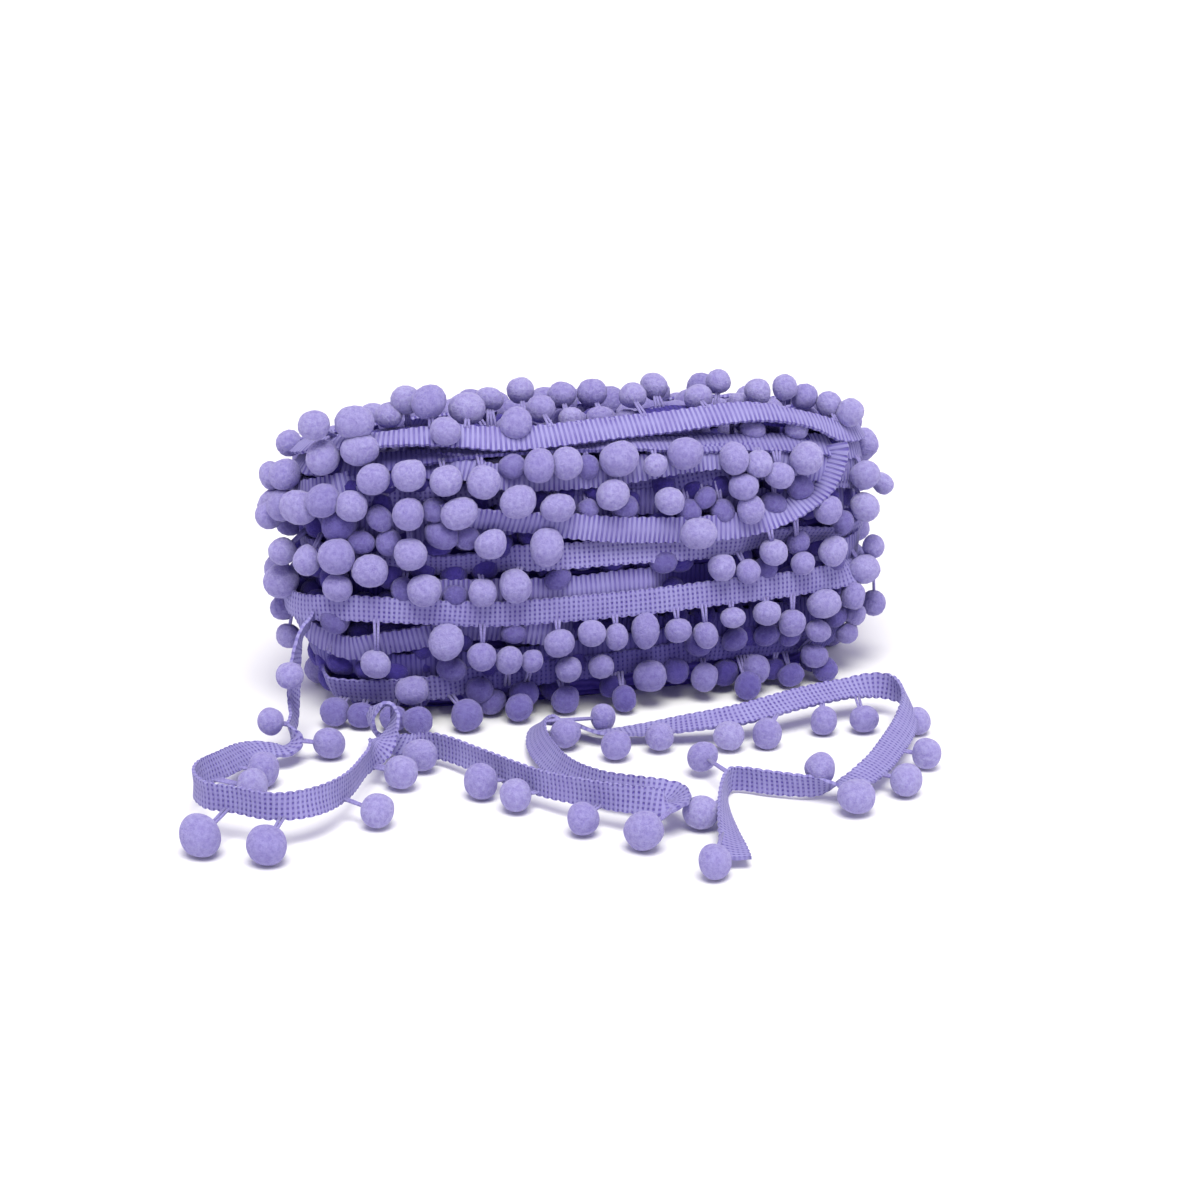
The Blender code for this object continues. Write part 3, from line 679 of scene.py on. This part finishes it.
def tape_weave(shape, line, sizes):
    """Adds a length of tape to the shape: a grid laid along the line, with scalloped edges."""
    step = sizes.scallop_pitch / MM / SCALLOP_COLUMNS
    count = max(8, int(round(line.reached[-1] / step)))
    distances = np.linspace(0.0, line.reached[-1], count + 1)
    middles, across, faces = line.at(distances)
    across, faces = unit(across), unit(faces)
    depths = np.interp(distances, line.reached, line.depth)
    wave = np.abs(np.sin(np.pi * np.arange(count + 1) / SCALLOP_COLUMNS))
    half = sizes.tape_width / MM / 2
    edge = half - sizes.scallop_depth / MM * (1 - wave**SCALLOP_ROUNDNESS)

    weave = shape.loops.layers.uv["weave"]
    open_face, deep = (shape.verts.layers.float[name] for name in ("open_face", "deep"))
    verts = bmesh.ops.create_grid(shape, x_segments=count, y_segments=2, size=0.5)["verts"]
    spots = {}
    for vert in verts:
        column = int(round((vert.co.x + 0.5) * count))
        side = int(round(vert.co.y * 2))
        crown = 0.0 if side else TAPE_CROWN
        point = middles[column] + across[column] * side * edge[column] + faces[column] * crown
        point[2] = max(point[2], TAPE_LOWEST)
        vert.co = Vector(point * MM)
        vert[open_face] = line.open_face
        vert[deep] = depths[column]
        spots[vert] = (distances[column] * MM, side * half * MM)
    for face in {face for vert in verts for face in vert.link_faces}:
        for loop in face.loops:
            loop[weave].uv = spots[loop.vert]
        for edge in face.edges:
            edge.smooth = len(edge.link_faces) == 2


def tape_piece(name, lines, sizes, colours, node):
    """Makes one piece of the tapes along some lines."""
    shape = new_shape("open_face", "deep")
    shape.loops.layers.uv.new("weave")
    for line in lines:
        tape_weave(shape, line, sizes)
    piece = add_piece(name, shape, yarn("Crocheted tape", crochet, colours, sizes), "tape yarn", node)
    wall = piece.modifiers.new("Tape thickness", "SOLIDIFY")
    wall.thickness = sizes.tape_thickness
    wall.offset = 0.0
    return piece


def foot_shade(points):
    """How much painted shade darkens the hank's yarn towards the floor, where the turns above hang over it.
    """
    darkest = np.interp(points[..., 0], FOOT_SHADE_FROM, FOOT_SHADE)
    return darkest * np.clip(1 - points[..., 2] / FOOT_SHADE_TOP, 0.0, 1.0)


def dip_at(name, along):
    """How much deeper a run lies at places along the hank."""
    depth = np.zeros(len(along))
    for start, end, deepest in DIPS.get(name, ()):
        rise = np.clip((along - start) / DIP_EASE, 0.0, 1.0) * np.clip((end - along) / DIP_EASE, 0.0, 1.0)
        depth += deepest * rise * rise * (3 - 2 * rise)
    return depth


def hank_lines(form):
    """Each run of tape on the hank, by name."""
    lines = {}
    for number, run in enumerate(RUNS):
        places = [(-BACK, *run.back), *run.places]
        if run.name != ENDS_IN_FRONT:
            places.append((BACK, *run.back))
        spots, _ = curve_through(places, HANK_STEPS)
        along, height = spots[:, 0], spots[:, 1]
        wobble = np.sin(along / 17.0 + 2.1 * number) + 0.6 * np.sin(along / 7.3 + 1.3 * number)
        out = run.out + WOBBLE * wobble - dip_at(run.name, along)
        middles, normals = form.place(along, height + WOBBLE * wobble, out)
        ahead = unit(np.gradient(middles, axis=0))
        upward = unit(np.cross(normals, ahead))
        lean = np.radians(spots[:, 2] + SWAY * np.sin(along / 23.0 + number))[:, None]
        across = upward * np.cos(lean) + normals * np.sin(lean)
        faces = normals * np.cos(lean) - upward * np.sin(lean)
        # Painted shade: darker the further inside the form the run lies, and towards the floor.
        depth = np.clip(np.maximum(-out, 0.0) / DEEP + foot_shade(middles), 0.0, 1.0)
        lines[run.name] = TapeLine(middles, across, faces, float(run.open_face), run.fringe, depth, along)
    return lines


def loose_line():
    """The loose end's line, whose way across points to the pompoms, and the distance to its second fold."""
    middles, where = curve_through([fold[:3] for fold in FOLDS], LOOSE_STEPS)
    edges = unit(np.array([fold[3:] for fold in FOLDS], float))
    across = at_distances(where, np.arange(len(FOLDS)), edges)
    faces = np.cross(np.gradient(middles, axis=0), across)
    line = TapeLine(middles, across, faces, 1.0, 1, np.zeros(len(middles)))
    return line, np.interp(1.0, where, line.reached)


# ---- Pompoms and their ties ----

BALL_CAGE_SIZE = 1.21  # how much larger the cage is than the ball that it rounds off to
TIP, TWIST = 0.7, 0.8  # how much pompoms differ in the way they face, in radians
DEEPEST_DENT, DENT_FROM = 0.30, -0.85  # where the tie goes in, and how far down the ball that is
PRESSES = 5  # sides of a pompom that its neighbours flatten, or that swell
DEEPEST_PRESS, PRESS_SPREAD = -0.20, 0.28
LUMPS = 0.08
FLOOR_GAP = 0.35
LONGEST_TIE = 13.0  # from the tape to the pompom's middle
SHORTEST_TIE = 0.8  # from the tape to the pompom's outside
PAIRS = 0.85  # the share of ties with two threads, where the others have three
THREAD_SIDES = 5
THREADS_MEET = 0.5  # how close a tie's threads come at the pompom, as a share of their spacing
TIE_DEPTH = 0.6  # how far they go into it, as a share of its radius


def ball_cage():
    """A ball of 24 faces, which a Subdivision Surface rounds off."""
    cage = bmesh.new()
    bmesh.ops.create_cube(cage, size=2.0)
    bmesh.ops.subdivide_edges(cage, edges=cage.edges, cuts=1, use_grid_fill=True)
    for vert in cage.verts:
        vert.co = vert.co.normalized() * BALL_CAGE_SIZE
    mesh = bpy.data.meshes.new("ball cage")
    cage.to_mesh(mesh)
    cage.free()
    return mesh


def turned(first, second, angle):
    """Two quantities at right angles, turned towards each other."""
    return (
        first * math.cos(angle) + second * math.sin(angle), second * math.cos(angle) - first * math.sin(angle)
    )


class Pompoms:
    """Some pompoms with their ties, which become two pieces."""

    def __init__(self, sizes, seed):
        self.sizes = sizes
        self.chance = np.random.default_rng(seed)
        self.cage = ball_cage()
        self.balls = new_shape("tone", "deep")
        self.ties = bmesh.new()

    def add_ball(self, middle, way, side, size, painted_shade=0.0):
        """Adds a ball cage made uneven, dented where its tie goes in, toned at random and given painted
        shade. Size
        is how wide, deep and tall it is, and it is tall along the way of its tie. Painted shade darkens its
        colour:
        1 is the most, as deep inside the hank, and 0 none, outside."""
        verts, chance = self.balls.verts, self.chance
        tone, deep = verts.layers.float["tone"], verts.layers.float["deep"]
        before = len(verts)
        self.balls.from_mesh(self.cage)
        verts.ensure_lookup_table()
        up = unit(np.asarray(way, float))
        side = unit(side - up * np.dot(side, up))
        up, side = turned(up, side, TIP * (chance.random() - 0.5))
        aside = np.cross(up, side)
        twist = chance.random() * TWIST - TWIST / 2
        dent = DEEPEST_DENT * chance.random() ** 2
        presses = [
            (unit(chance.normal(size=3)), PRESS_SPREAD * chance.random() + DEEPEST_PRESS)
            for _ in range(PRESSES)
        ]
        shade = chance.random()
        spots = []
        for vert in verts[before:]:
            x, y, z = vert.co
            z, x = turned(z, x, twist)
            lump = 1.0 + LUMPS * (chance.random() - 0.5)
            for press, depth in presses:
                lump += depth * max(0.0, np.dot(press, (x, y, z)) / BALL_CAGE_SIZE) ** 3
            if z < DENT_FROM:
                lump -= dent
            spots.append((side * x * size[0] + aside * y * size[1] + up * z * size[2]) * lump / 2)
        lowest = middle[2] + min(spot[2] for spot in spots) / BALL_CAGE_SIZE
        middle = middle + (0, 0, max(0.0, FLOOR_GAP - lowest))
        for vert, spot in zip(verts[before:], spots):
            vert.co = Vector((spot + middle) * MM)
            vert[tone] = shade
            vert[deep] = painted_shade

    def add_tie(self, root, along, middle, radius):
        """Adds two or three straight threads, side by side, from the tape's edge to a pompom."""
        thick = self.sizes.thread_diameter / 2
        apart = self.sizes.thread_spacing / MM
        count = 2 if self.chance.random() < PAIRS else 3
        for number in range(count):
            side = (number - (count - 1) / 2) * apart
            start = Vector(root + along * side)
            end = Vector(middle + along * side * THREADS_MEET - unit(middle - root) * radius * TIE_DEPTH)
            way = end - start
            turn = way.to_track_quat("Z", "Y").to_matrix().to_4x4()
            bmesh.ops.create_cone(
                self.ties, cap_ends=True, segments=THREAD_SIDES, radius1=thick, radius2=thick,
                depth=way.length * MM, matrix=Matrix.Translation((start + end) / 2 * MM) @ turn,
            )

    def finish(self, names, colours, roundness, *nodes):
        """Makes the two pieces, and hides the parts of some CAD nodes in their place."""
        pile = yarn("Pompom pile", pompom_pile, colours)
        thread = yarn("Tie thread", thread_yarn, colours)
        piece = add_piece(names[0], self.balls, pile, "pompom yarn", *nodes)
        smooth = piece.modifiers.new("Roundness", "SUBSURF")
        smooth.levels = roundness
        smooth.render_levels = roundness
        add_piece(names[1], self.ties, thread, "pompom yarn", *nodes)
        bpy.data.meshes.remove(self.cage)


# Deep is how much painted shade a pompom gets, from 0 for none to 1 for the most.
Placed = namedtuple("Placed", "anchor size root along held deep")

PLACES_SEED, HANK_SEED, LOOSE_SEED = 5, 11, 23
SCATTER_UP, SCATTER_OUT = 1.4, 0.8  # of pompoms without a place of their own
ROUND_STAND = -0.6
LOWEST_MIDDLE = 4.6  # of a pompom on the floor
PITCH_SPREAD = 0.2
LINING_SPREAD, LINING_UP, LINING_IN = 0.1, 1.2, 0.5  # how the lining's pitch, height and depth differ
LINING_SIZE = 0.9
UNEVENNESS, LOOSE_UNEVENNESS = 0.1, 0.08  # shares by which a pompom's width, depth and height differ
FLATNESS = 0.95
TIE_OFF_FACE = 0.5
LIGHT_STAND, DARKENING = 3.0, 5.0  # how far out pompoms get no painted shade, and how far in from there they get the most


def line_at_place(line, form, along):
    """The distance along a run's line at which it passes a place along the hank, or nothing."""
    for shift in (0.0, -form.round, form.round):
        passed = np.nonzero((line.places[:-1] <= along + shift) & (line.places[1:] > along + shift))[0]
        if len(passed):
            start = passed[0]
            share = (along + shift - line.places[start]) / (line.places[start + 1] - line.places[start])
            return line.reached[start] + share * (line.reached[start + 1] - line.reached[start])
    return None


def any_size(sizes, chance):
    """The width, depth and height of a pompom of the usual uneven kind."""
    middling = sizes.pompom_diameter / MM * (1 + sizes.pompom_spread * (2 * chance.random() - 1))
    return middling * (1 + UNEVENNESS * (2 * chance.random(3) - 1))


def next_pitch(pitch, spread, chance):
    """A pitch that is off the usual one by up to this share of it."""
    return pitch * (1 - spread + 2 * spread * chance.random())


def tie_root(line, half, middle, across, face):
    """Where a tie leaves the tape's fringe edge, and the way along the tape there."""
    return middle + across * line.fringe * (half - TIE_INSET) + face * TIE_OFF_FACE, np.cross(across, face)


def nearest_root(line, half, anchor):
    """The root on a run's fringe edge that is nearest to a pompom, and the way along the tape there."""
    edges = line.middles + line.across * line.fringe * (half - TIE_INSET)
    nearest = np.argmin(np.linalg.norm(edges - anchor, axis=1))
    return tie_root(line, half, line.middles[nearest], line.across[nearest], line.faces[nearest])


def held_pompom(line, half, anchor, wide, tall, deep):
    """A pompom with a place and a size of its own."""
    anchor = np.array(anchor, float)
    size = np.array((wide, 0.5 * (wide + tall) * FLATNESS, tall))
    return Placed(anchor, size, *nearest_root(line, half, anchor), 1.0, deep)


def placed_pompoms(form, lines, sizes):
    """Every pompom of the hank, before they are eased apart."""
    chance = np.random.default_rng(PLACES_SEED)
    half = sizes.tape_width / MM / 2
    placed = []
    for row in ROWS:
        line = lines[row.run]
        # Painted shade: none for rows that stand out, more the further in they stand.
        deep = min(max((LIGHT_STAND - row.stand) / DARKENING, 0.0), 1.0)
        for along, height, wide, tall in row.pompoms:
            placed.append(held_pompom(line, half, form.spot(along, height, row.stand), wide, tall, deep))
        if row.drop is None:
            continue
        along = max(ROUND_FROM, max(pompom[0] for pompom in row.pompoms) + row.pitch)
        while along < form.round + ROUND_TO:
            distance = line_at_place(line, form, along)
            if distance is not None:
                middle, across, face = (found[0] for found in line.at([distance]))
                height = middle[2] + line.fringe * row.drop + SCATTER_UP * chance.normal()
                out = row.stand + ROUND_STAND + SCATTER_OUT * chance.normal()
                anchor = form.spot(along, max(height, LOWEST_MIDDLE), out)
                root = tie_root(line, half, middle, across, face)
                placed.append(Placed(anchor, any_size(sizes, chance), *root, 0.0, 0.0))
            along += next_pitch(row.pitch, PITCH_SPREAD, chance)
    for x, y, height, wide, tall in CROWN_POMPOMS:
        line = lines["top turn" if y < CROWN_FRONT else "crown turn"]
        placed.append(held_pompom(line, half, (x, y, height), wide, tall, 0.0))
    for x, y, height, wide, tall in FOOT_POMPOMS:
        placed.append(held_pompom(lines["first turn"], half, (x, y, height), wide, tall, FLOOR_POMPOM_SHADE))
    for row, (under, deep) in itertools.product(CROWN_ROWS, CROWN_LAYERS):
        x = row.first + under / 2
        while x <= row.last:
            fall = max(0.0, abs(x) - CROWN_LEVEL) / (CROWN_END - CROWN_LEVEL)
            height = row.height - under - CROWN_FALL * fall**2
            anchor = np.array((x, row.y + chance.normal(), height + SCATTER_OUT * chance.normal()))
            root = nearest_root(lines["crown turn"], half, anchor)
            placed.append(Placed(anchor, any_size(sizes, chance), *root, 0.0, deep))
            x += next_pitch(row.pitch, PITCH_SPREAD, chance)
    return placed


def lining_pompoms(form, sizes, chance):
    """Middles, ways out and sizes of the pompoms that lie inside the form."""
    for number, row in enumerate(LINING_ROWS):
        along = row.start + (number % 2) * LINING_PITCH / 2
        while along < row.end:
            height = row.height + LINING_UP * chance.normal()
            middles, normals = form.place([along], [height], [LINING_OUT + LINING_IN * chance.normal()])
            yield middles[0], normals[0], any_size(sizes, chance) * LINING_SIZE
            along += next_pitch(LINING_PITCH, LINING_SPREAD, chance)


EASE_ROUNDS = 60
CLOSEST, PUSH = 0.90, 0.4  # how near pompoms may come, as a share of where they touch, and how fast they part
FAR = 99  # from itself, so that no pompom pushes itself
HELD_EASE = 0.25  # the share of a push that moves a held pompom
HELD_PULL, FREE_PULL = 0.25, 0.05  # the share of the way back to its place that each round draws one
CLOSEST_TO_TAPE, TAPE_LIFT = 0.8, 0.6  # as a share of a pompom's radius, and the most that one round lifts it
TAPE_PROBES = (-2.4, 0, 2.4)  # across the tape, where its distance from pompoms is measured
SPINE, SPINE_HEIGHTS = 0.72, (10, 62)  # what they are lifted away from: its share of their x, and its heights
HANK_BACK, HANK_END = 35.0, 90.0  # which no pompom passes


def eased_apart(placed, lines):
    """The pompoms' middles, pushed off each other and off the tape, and drawn back to their places. Those
    that are held give way least."""
    anchors = np.array([pompom.anchor for pompom in placed])
    radii = np.array([pompom.size.mean() / 2 for pompom in placed])
    held = np.array([pompom.held for pompom in placed])[:, None]
    ease = np.where(held > 0, HELD_EASE, 1.0)
    pull = np.where(held > 0, HELD_PULL, FREE_PULL)
    x, y, heights = anchors.T
    outward = unit(anchors - np.column_stack([x * SPINE, y * 0, np.clip(heights, *SPINE_HEIGHTS)]))
    tape = np.vstack(
        [line.middles[::3] + line.across[::3] * side for line in lines.values() for side in TAPE_PROBES]
    )
    middles = anchors.copy()
    for _ in range(EASE_ROUNDS):
        gaps = middles[:, None] - middles[None]
        apart = np.linalg.norm(gaps, axis=2) + np.eye(len(placed)) * FAR
        short = np.clip((radii[:, None] + radii[None]) * CLOSEST - apart, 0, None)
        push = np.sum(gaps / apart[..., None] * short[..., None] * PUSH, axis=1)
        off_tape = np.linalg.norm(middles[:, None] - tape[None], axis=2).min(axis=1)
        lift = np.clip(radii * CLOSEST_TO_TAPE - off_tape, 0, TAPE_LIFT)[:, None] * (1 - held)
        middles = middles + push * ease + outward * lift + (anchors - middles) * pull
        middles[:, 2] = np.maximum(middles[:, 2], radii + 0.1)
        middles[:, 1] = np.minimum(middles[:, 1], HANK_BACK - radii)
        middles[:, 0] = np.clip(middles[:, 0], radii - HANK_END, HANK_END - radii)
    return middles


# ---- The pieces ----


def add_piece(name, shape, material, slot, *nodes):
    """Turns a shape into a finished piece that rides on the body, and hides the parts of the CAD nodes in its
    place.
    """
    mesh = bpy.data.meshes.new(name)
    shape.to_mesh(mesh)
    shape.free()
    mesh.materials.append(material)
    mesh.shade_smooth()
    piece = bpy.data.objects.new(name, mesh)
    bpy.context.scene.collection.objects.link(piece)
    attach(piece, BODY)
    if nodes:
        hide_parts(*nodes)
    return piece


def yarn(name, make, *details):
    """A material of the trim, made once."""
    return bpy.data.materials.get(name) or make(*details)


# The inside of the hank: its points round and up, its lowest and highest ones, how far inside the form it is,
# and how deep its ridges are and how far apart.
HEART_COLUMNS, HEART_ROWS = 160, 44
HEART_FOOT, HEART_TOP = 0.3, 60.0
HEART_INSET = 6.5
RIDGE, RIDGE_PITCH = 0.7, 3.4


class TRIM_OT_hank_heart(bpy.types.Operator):
    """Make the inside of the hank, in painted shade, which shows dark between its turns"""

    bl_idname = "trim.hank_heart"
    bl_label = "Inside of the hank"

    def execute(self, context):
        form, shape = WoundForm(), bmesh.new()
        along = np.arange(HEART_COLUMNS) / HEART_COLUMNS * form.round
        rings = []
        for row in range(HEART_ROWS + 1):
            height = HEART_FOOT + (HEART_TOP - HEART_FOOT) * row / HEART_ROWS
            ridge = RIDGE * math.cos(height * FULL_TURN / RIDGE_PITCH)
            points, _ = form.place(along, height, np.full(HEART_COLUMNS, ridge - HEART_INSET))
            points[:, 2] = height
            rings.append([shape.verts.new(point * MM) for point in points])
        for under, over in zip(rings, rings[1:]):
            for column in range(HEART_COLUMNS):
                shape.faces.new((under[column], over[column], over[column - 1], under[column - 1]))
        shape.faces.new(rings[0][::-1])
        shape.faces.new(rings[-1])
        material = yarn("Deep yarn", deep_yarn, context.scene.trim_colours)
        add_piece("hank_heart", shape, material, "wound yarn", "wound_hank")
        return {"FINISHED"}


class TRIM_OT_hank_tape(bpy.types.Operator):
    """Wind the runs of tape round the hank"""

    bl_idname = "trim.hank_tape"
    bl_label = "Tape on the hank"

    def execute(self, context):
        lines = hank_lines(WoundForm()).values()
        tape_piece("hank_tape", lines, context.scene.trim_sizes, context.scene.trim_colours, "wound_hank")
        return {"FINISHED"}


class TRIM_OT_hank_pompoms(bpy.types.Operator):
    """Set the hank's pompoms between its turns, each on its tie"""

    bl_idname = "trim.hank_pompoms"
    bl_label = "Pompoms on the hank"

    def execute(self, context):
        sizes, colours = context.scene.trim_sizes, context.scene.trim_colours
        form = WoundForm()
        lines = hank_lines(form)
        placed = placed_pompoms(form, lines, sizes)
        pompoms = Pompoms(sizes, HANK_SEED)
        for pompom, middle in zip(placed, eased_apart(placed, lines)):
            way = middle - pompom.root
            radius = pompom.size[2] / 2
            # Painted shade: the pompom's own share, and more towards the floor.
            painted_shade = min(pompom.deep + foot_shade(middle) * POMPOM_FOOT_SHADE, 1.0)
            pompoms.add_ball(middle, way, pompom.along, pompom.size, painted_shade)
            if radius + SHORTEST_TIE < np.linalg.norm(way) < LONGEST_TIE:
                pompoms.add_tie(pompom.root, pompom.along, middle, radius)
        # The lining's pompoms get the full painted shade.
        for middle, way, size in lining_pompoms(form, sizes, pompoms.chance):
            pompoms.add_ball(middle, way, np.cross(way, (0.0, 0.0, 1.0)), size, 1.0)
        pompoms.finish(("hank_pompoms", "hank_ties"), colours, 1, "wound_hank")
        return {"FINISHED"}


class TRIM_OT_loose_pompoms(bpy.types.Operator):
    """Set the pompoms of the loose end, each on its tie"""

    bl_idname = "trim.loose_pompoms"
    bl_label = "Loose pompoms"

    def execute(self, context):
        sizes, colours = context.scene.trim_sizes, context.scene.trim_colours
        line, clear = loose_line()
        half = sizes.tape_width / MM / 2
        pompoms = Pompoms(sizes, LOOSE_SEED)
        for pompom in LOOSE_POMPOMS:
            middle = np.array((pompom.x, pompom.y, pompom.height))
            at, across, face = (found[0] for found in line.at([clear + pompom.along]))
            root = at + across * (half - TIE_INSET)
            along = np.cross(across, face)
            size = pompom.diameter * (1 + LOOSE_UNEVENNESS * (2 * pompoms.chance.random(3) - 1))
            pompoms.add_ball(middle, middle - root, along, size)
            pompoms.add_tie(root, along, middle, pompom.diameter / 2)
        names = [f"loose_pompom_{number:02d}" for number in range(1, len(LOOSE_POMPOMS) + 1)]
        pompoms.finish(("loose_balls", "loose_ties"), colours, 2, *names)
        return {"FINISHED"}


class TRIM_OT_loose_tape(bpy.types.Operator):
    """Lay the loose end of the tape in front of the hank"""

    bl_idname = "trim.loose_tape"
    bl_label = "Loose tape"

    def execute(self, context):
        sizes, colours = context.scene.trim_sizes, context.scene.trim_colours
        line, _ = loose_line()
        piece = tape_piece("loose_crochet", [line], sizes, colours, "loose_tape")
        cut = line.reached[-1] * MM
        sizes.tape_width * cut
        return {"FINISHED"}


LIGHTS = {"key": (-0.15, -0.6, 1.2), "fill": (0.9, -0.9, 0.5)}  # the ways they come from
FLOOR_HALF = 4.0  # in metres
LOOKED_AT = (6, 0, 21.2)
SENSOR_WIDTH, LENS = 36.0, 93.0


class TRIM_OT_stage(bpy.types.Operator):
    """Set up the floor, the lights and the camera"""

    bl_idname = "trim.stage"
    bl_label = "Floor, lights and camera"

    def execute(self, context):
        scene, look = context.scene, context.scene.trim_stage
        shape = bmesh.new()
        bmesh.ops.create_grid(shape, x_segments=1, y_segments=1, size=FLOOR_HALF)
        mesh = bpy.data.meshes.new("floor")
        shape.to_mesh(mesh)
        shape.free()
        mesh.materials.append(
            Paint("Floor").finish(Base_Color=look.floor, Roughness=0.9, Specular_IOR_Level=0.1)
        )
        floor = bpy.data.objects.new("floor", mesh)
        scene.collection.objects.link(floor)
        floor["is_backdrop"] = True

        for name, way in LIGHTS.items():
            data = bpy.data.lights.new(name, "SUN")
            data.angle = look.light_softness
            data.energy = getattr(look, name + "_strength")
            data.color = look.light_colour[:3]
            light = bpy.data.objects.new(name, data)
            scene.collection.objects.link(light)
            light.rotation_euler = Vector(way).to_track_quat("Z", "Y").to_euler()

        world = bpy.data.worlds.new("Studio")
        scene.world = world
        world.use_nodes = True
        backdrop = world.node_tree.nodes["Background"]
        backdrop.inputs["Color"].default_value = look.sky_colour
        backdrop.inputs["Strength"].default_value = look.sky

        data = bpy.data.cameras.new("camera")
        data.sensor_width = SENSOR_WIDTH
        data.lens = LENS
        camera = bpy.data.objects.new("camera", data)
        scene.collection.objects.link(camera)
        turn, rise = look.camera_azimuth, look.camera_elevation
        back = Vector((math.sin(turn) * math.cos(rise), -math.cos(turn) * math.cos(rise), math.sin(rise)))
        camera.location = Vector(LOOKED_AT) * MM + back * look.camera_distance
        camera.rotation_euler = back.to_track_quat("Z", "Y").to_euler()
        scene.camera = camera
        scene.view_settings.view_transform = "Standard"
        return {"FINISHED"}


class TRIM_PT_panel(bpy.types.Panel):
    """The trim's sizes, colours and operators"""

    bl_idname = "TRIM_PT_panel"
    bl_label = "Pompom fringe trim"
    bl_space_type = "VIEW_3D"
    bl_region_type = "UI"
    bl_category = "Trim"

    def draw(self, context):
        for group in (context.scene.trim_sizes, context.scene.trim_colours, context.scene.trim_stage):
            box = self.layout.box()
            for name in group.__annotations__:
                box.prop(group, name)
        for operator in OPERATORS:
            self.layout.operator(operator.bl_idname)


OPERATORS = (
    TRIM_OT_stage, TRIM_OT_hank_heart, TRIM_OT_hank_tape, TRIM_OT_hank_pompoms, TRIM_OT_loose_pompoms,
    TRIM_OT_loose_tape,
)
GROUPS = {"trim_sizes": TrimSizes, "trim_colours": TrimColours, "trim_stage": TrimStage}


def register():
    for kind in (*GROUPS.values(), *OPERATORS, TRIM_PT_panel):
        bpy.utils.register_class(kind)
    for name, group in GROUPS.items():
        setattr(bpy.types.Scene, name, bpy.props.PointerProperty(type=group))


def unregister():
    for name in GROUPS:
        delattr(bpy.types.Scene, name)
    for kind in (TRIM_PT_panel, *reversed(OPERATORS), *GROUPS.values()):
        bpy.utils.unregister_class(kind)


def main():
    register()
    bpy.ops.trim.stage()
    bpy.ops.trim.hank_heart()
    bpy.ops.trim.hank_tape()
    bpy.ops.trim.hank_pompoms()
    bpy.ops.trim.loose_pompoms()
    bpy.ops.trim.loose_tape()
    boxes = {"cad": CAD_BOX, "made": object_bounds()}
    {name: [list(corner) for corner in box] for name, box in boxes.items()}


if __name__ == "__main__":
    main()
